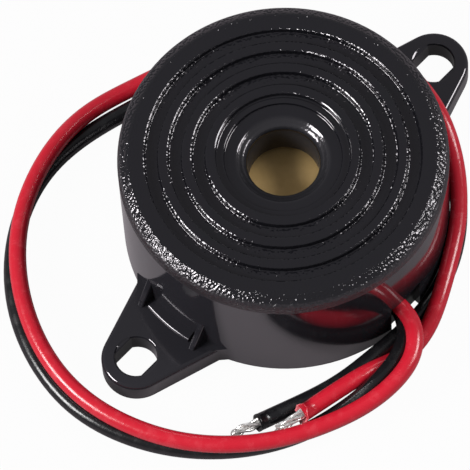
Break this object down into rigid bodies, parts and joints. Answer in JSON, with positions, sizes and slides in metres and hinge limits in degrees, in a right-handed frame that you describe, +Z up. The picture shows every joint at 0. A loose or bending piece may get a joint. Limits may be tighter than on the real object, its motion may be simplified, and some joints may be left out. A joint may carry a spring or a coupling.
{
  "type": "piezo buzzer",
  "caption": "Round black sounder with ring grooves round a central sound hole, two slotted mounting ears and a red and a black flying lead.",
  "frame": {"origin": "bottom centre of the round body, in the plane of its flat underside", "axes": "+X through the two ears, the longest extent, +Z up through the sound hole, the shortest extent; the leads leave at -Y"},
  "size_m": [0.0511, 0.0414, 0.0142],
  "materials": {
    "black_abs": "fine spark-eroded top, glossy wall",
    "brass": "rolled",
    "ceramic": "silvered, matt",
    "silicone": "satin",
    "board": "paper laminate",
    "component_body": "moulded",
    "resistor_body": "lacquered",
    "glass_body": "clear orange",
    "solder": "tin",
    "pvc_red": "smooth insulation",
    "pvc_black": "smooth insulation",
    "pvc_blue": "smooth insulation",
    "resin": "cast, slightly wavy",
    "tinned_copper": "tinned strands"
  },
  "bodies": {
    "root": {"housing": "black_abs", "brass_disc": "brass", "ceramic_disc": "ceramic", "disc_bond": "silicone", "circuit_board": "board", "transistor": "component_body", "resistors": "resistor_body", "diode": "glass_body", "board_solder": "solder", "disc_solder": "solder", "disc_wire_red": "pvc_red", "disc_wire_blue": "pvc_blue", "disc_wire_black": "pvc_black", "potting_resin": "resin", "red_lead": "pvc_red", "red_tinned_end": "tinned_copper", "black_lead": "pvc_black", "black_tinned_end": "tinned_copper"}
  },
  "joints": []
}
